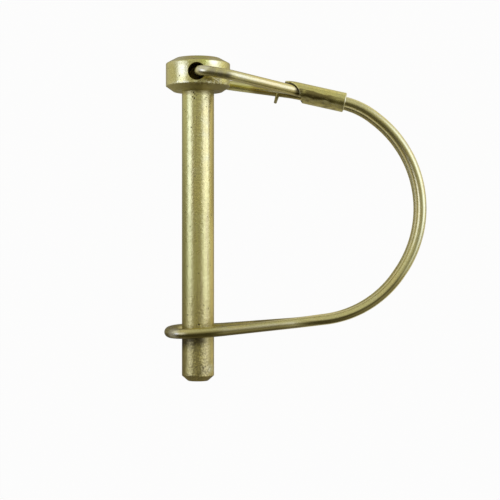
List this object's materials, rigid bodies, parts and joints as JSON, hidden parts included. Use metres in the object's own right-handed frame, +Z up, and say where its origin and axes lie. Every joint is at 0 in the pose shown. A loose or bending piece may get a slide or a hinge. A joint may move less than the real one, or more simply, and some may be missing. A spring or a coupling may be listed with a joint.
{
  "type": "wire lock pin",
  "caption": "Headed steel pin with a spring-wire bail that turns in a cross hole through the head and snaps its eye round the shaft above the tip, yellow zinc plated.",
  "frame": {"origin": "middle of the head's underside, on the pin's axis", "axes": "the pin lies along Y with its head towards +Y and its tip towards -Y; the bail reaches out along +X; +Z is up when the part lies on its side"},
  "size_m": [0.0518, 0.0637, 0.0192],
  "materials": {
    "pin_plating": "turned steel, yellow zinc plated, finely pitted",
    "wire_plating": "drawn spring wire, yellow zinc plated, smooth and glossy",
    "sleeve_plating": "thin rolled sheet steel, yellow zinc plated, scuffed from pressing"
  },
  "bodies": {
    "pin": {"lock_pin": "pin_plating"},
    "bail": {"wire_bail": "wire_plating", "sleeve": "sleeve_plating"}
  },
  "joints": [
    {"name": "bail_swing", "type": "hinge", "parent": "pin", "child": "bail", "pos_m": [0.00045, 0.0033, 0], "axis": [0, 0, 1], "range_deg": [0, 258]}
  ]
}
